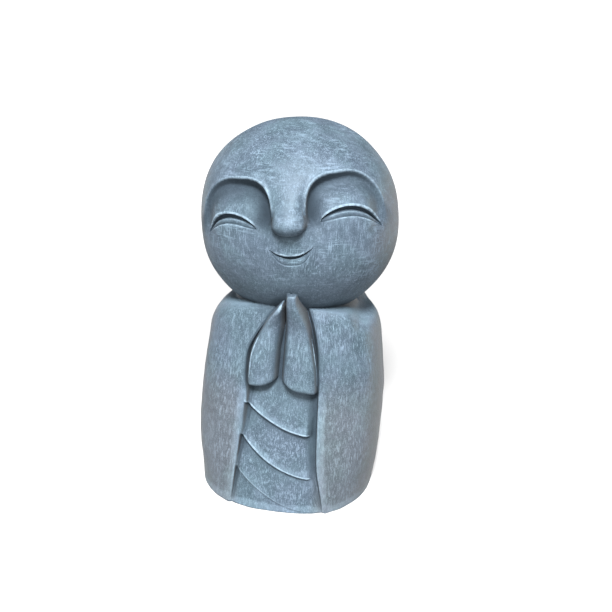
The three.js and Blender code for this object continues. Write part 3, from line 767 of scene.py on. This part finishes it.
# The brush strokes: fine stretched grain, broken up by a coarser one.
patches = grain(38, detail=4.0)
fibres = between(grain(1250, (1, 1, 0.15), (0.1, 0.25, 0), 2.0), *STROKE_CUT)
upright = times(fibres, between(grain(480, (1, 1, 0.5)), 0.36, 0.62))
level = between(grain(1150, (0.12, 0.12, 1), detail=2.0), *STROKE_CUT)
level = times(level, between(grain(270, (0.35, 0.35, 1)), 0.4, 0.62))
slanted = between(grain(1200, (1, 1, 0.14), (0.25, 0.7, 0.0), 2.0), *STROKE_CUT)
slanted = times(slanted, between(grain(240), 0.38, 0.6))
crossed = plus(times(between(patches, 0.4, 0.6), upright), times(between(patches, 0.6, 0.4), slanted))
crossed = plus(crossed, times(level, between(grain(52, detail=2.0), 0.42, 0.6, 0.1, 0.9)))
on_cloak = plus(times(upright, 0.66), times(slanted, 0.5))
strokes = put("ShaderNodeMix", {0: on_head, 2: on_cloak, 3: crossed}).outputs[0]
speckle = between(grain(1700, detail=2.0), 0.52, 0.7)
pits = between(grain(1500, detail=2.0, roughness=0.8), 0.42, 0.3)

# The cast stone's own mottled colour, warmer low on the cloak, with a painted warm reflection round the
# sides.
clouds = between(grain(70, (1, 1, 0.6), detail=6.0, roughness=0.7), 0.32, 0.68, 0.15, 0.85)
mottled = blend(clouds, DARK_SLATE, MID_SLATE)
mottled = blend(times(away, 0.85), mottled, WARM_GREY)
mottled = blend(times(low_cloak, 0.45), mottled, WARM_GREY)

# The light paint dragged over it, most where the form stands proud.
amount = plus(times(strokes, between(patches, 0.3, 0.65, 0.5, 1.0)), times(speckle, 0.5))
amount = plus(amount, times(between(proud, 0.0004, 0.0016), between(height, *LOW_ROBE_HEIGHTS, 0.4, 0.12)))
# Less light paint in the hollows, where the brush misses them, which also paints shade into them.
amount = times(amount, between(hollow, 0.03, 0.3, 1.0, 0.25))
amount = times(amount, between(on_head, 0.0, 1.0, 0.9, 0.72))
# Painted shade on the sides: less light paint where the faces turn sideways.
amount = times(amount, between(away, 0.0, 1.0, 1.0, 0.6))
# Painted light on the shoulders' tops under the chin: extra light paint on faces that look up.
amount = plus(amount, times(between(upward_face, 0.5, 0.9), between(height, *SHOULDER_HEIGHTS, 0.0, 0.4)))
brushed_with_painted_light = blend(amount, mottled, blend(low_cloak, BRUSHED, DRY_BRUSHED))
cast = blend(between(grain(34, detail=4.0), 0.36, 0.62), GREEN_CAST, VIOLET_CAST)
tinted = put("ShaderNodeMix", {0: 1.0, 6: brushed_with_painted_light, 7: cast}, data_type="RGBA", blend_type="MULTIPLY")

# Painted shade with the dark wash: dark in the hollows, less on faces that look up, thin at the neck and
# thick in the eye sockets.
painted_shade_and_wash = times(between(hollow, 0.07, 0.55), between(upward_face, 0.2, 0.8, 0.75, 0.2))
painted_shade_and_wash = times(painted_shade_and_wash, between(height, *NECK_HEIGHTS, 1.0, 0.3))
painted_shade_and_wash = plus(painted_shade_and_wash, times(painted_shade_and_wash, between(height, *FACE_HEIGHTS, 0.0, 2.3)))
# Painted shade on faces that look down, under the chin and the hands.
painted_shade_and_wash = plus(painted_shade_and_wash, times(between(upward_face, 0.1, -0.7), 0.5))
# Painted shade under the brows.
painted_shade_and_wash = plus(painted_shade_and_wash, times(shade, 0.5))
painted_shade_and_wash = plus(painted_shade_and_wash, times(pits, 0.35))
shaded_and_washed = blend(painted_shade_and_wash, tinted.outputs[2], SHADE_AND_WASH_DARK)

# Edges worn light, but not along the base.
rubbed = between(grain(420, detail=3.0), 0.35, 0.6, 0.35, 0.95)
edges = times(between(raised, 0.00022, 0.0008, 0.0, 0.75), rubbed)
edges = times(edges, between(hollow, 0.22, 0.42, 1.0, 0.0))
edges = times(edges, between(height, *BASE_HEIGHTS))
links.new(blend(edges, shaded_and_washed, WORN_EDGE), shader.inputs["Base Color"])

# Bare stone has a low sheen; paint, the wash with its painted shade, and faces open to the weather are dull.
dullness = plus(between(amount, 0.0, 1.0, 0.48, 0.66), between(upward_face, 0.7, 0.92, 0.0, 0.35))
links.new(plus(dullness, times(painted_shade_and_wash, 0.6)), shader.inputs["Roughness"])
shader.inputs["Specular IOR Level"].default_value = 0.3
shader.inputs["Specular Tint"].default_value = (0.7, 0.87, 1.0, 1)
relief_height = plus(times(strokes, 0.5), times(grain(900, detail=4.0), 0.5))
bump = put("ShaderNodeBump", {"Strength": 0.35, "Distance": 0.0003, "Height": relief_height})
links.new(bump.outputs[0], shader.inputs["Normal"])
statue.data.materials.clear()
statue.data.materials.append(stone)
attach(statue, "root")
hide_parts("jizo_statue")

# The photograph's view: a plain pale floor, soft light from above the camera, and a close
# camera a little to the figure's left that looks slightly down.
FLOOR_REACH = 6
FLOOR_TONE = (0.6, 0.6, 0.6, 1)
FLOOR_GLOW_FROM, FLOOR_GLOW_FULL = 0.2, 1.2
SKY_LOW, SKY_HIGH = 0.2, 0.5
SKY_LOW_STRENGTH, SKY_HIGH_STRENGTH = 1.2, 0.25
KEY_PLACE = Vector((0.09, -0.75, 0.98))
KEY_AIM = Vector((0, 0, 0.14))
KEY_SIZE = 0.3
KEY_POWER = 40
WHITE = (1, 1, 1, 1)
bm = bmesh.new()
bmesh.ops.create_grid(bm, x_segments=1, y_segments=1, size=FLOOR_REACH)
floor = add_object("floor", bm)
floor_paint = bpy.data.materials.new("floor_paint")
floor_paint.use_nodes = True
floor.data.materials.append(floor_paint)
paint = floor_paint.node_tree
floor_shader = paint.nodes["Principled BSDF"]
floor_shader.inputs["Base Color"].default_value = FLOOR_TONE
floor_shader.inputs["Roughness"].default_value = 0.9
floor_shader.inputs["Emission Color"].default_value = WHITE
floor_place = paint.nodes.new("ShaderNodeTexCoord")
floor_reach = paint.nodes.new("ShaderNodeVectorMath")
floor_reach.operation = "LENGTH"
floor_glow = paint.nodes.new("ShaderNodeMapRange")
floor_glow.interpolation_type = "SMOOTHSTEP"
floor_glow.inputs["From Min"].default_value = FLOOR_GLOW_FROM
floor_glow.inputs["From Max"].default_value = FLOOR_GLOW_FULL
floor_glow.inputs["To Max"].default_value = 1.0
paint.links.new(floor_place.outputs["Object"], floor_reach.inputs[0])
paint.links.new(floor_reach.outputs["Value"], floor_glow.inputs["Value"])
paint.links.new(floor_glow.outputs[0], floor_shader.inputs["Emission Strength"])

world = bpy.data.worlds.new("studio")
bpy.context.scene.world = world
world.use_nodes = True
sky = world.node_tree
sky_place = sky.nodes.new("ShaderNodeTexCoord")
sky_height = sky.nodes.new("ShaderNodeSeparateXYZ")
sky_glow = sky.nodes.new("ShaderNodeMapRange")
sky_glow.inputs["From Min"].default_value = SKY_LOW
sky_glow.inputs["From Max"].default_value = SKY_HIGH
sky_glow.inputs["To Min"].default_value = SKY_LOW_STRENGTH
sky_glow.inputs["To Max"].default_value = SKY_HIGH_STRENGTH
sky.links.new(sky_place.outputs["Generated"], sky_height.inputs[0])
sky.links.new(sky_height.outputs["Z"], sky_glow.inputs["Value"])
sky.links.new(sky_glow.outputs[0], sky.nodes["Background"].inputs["Strength"])
sky.nodes["Background"].inputs["Color"].default_value = WHITE

key_data = bpy.data.lights.new("key", "AREA")
key_data.shape = "DISK"
key_data.size = KEY_SIZE
key_data.energy = KEY_POWER
key = bpy.data.objects.new("key", key_data)
bpy.context.collection.objects.link(key)
key.location = KEY_PLACE
key.rotation_euler = (KEY_AIM - KEY_PLACE).to_track_quat("-Z", "Y").to_euler()

CAMERA_AZIMUTH = math.radians(9.63)
CAMERA_DISTANCE = 0.384
CAMERA_HEIGHT = 0.25694
CAMERA_SIDESTEP = 0.0049
CAMERA_PITCH = math.radians(19.02)
CAMERA_ROLL = math.radians(3.12)
FOCAL_PIXELS = 582.6
FRAME_PIXELS = 612.0
SENSOR_WIDTH = 36
right_hand = Vector((math.cos(CAMERA_AZIMUTH), math.sin(CAMERA_AZIMUTH), 0))
forward = Vector((-math.sin(CAMERA_AZIMUTH) * math.cos(CAMERA_PITCH),
                  math.cos(CAMERA_AZIMUTH) * math.cos(CAMERA_PITCH), -math.sin(CAMERA_PITCH)))
upward = right_hand.cross(forward)
across = right_hand * math.cos(CAMERA_ROLL) + upward * math.sin(CAMERA_ROLL)
above = -right_hand * math.sin(CAMERA_ROLL) + upward * math.cos(CAMERA_ROLL)
camera_data = bpy.data.cameras.new("camera")
camera_data.sensor_width = SENSOR_WIDTH
camera_data.lens = SENSOR_WIDTH * FOCAL_PIXELS / FRAME_PIXELS
camera_data.clip_start = 0.01
camera = bpy.data.objects.new("camera", camera_data)
bpy.context.collection.objects.link(camera)
place = CAMERA_DISTANCE * Vector((math.sin(CAMERA_AZIMUTH), -math.cos(CAMERA_AZIMUTH), 0))
place += right_hand * CAMERA_SIDESTEP + Vector((0, 0, CAMERA_HEIGHT))
camera.matrix_world = Matrix.Translation(place) @ Matrix((across, above, -forward)).transposed().to_4x4()
bpy.context.scene.camera = camera
bpy.context.scene.view_settings.view_transform = "Standard"
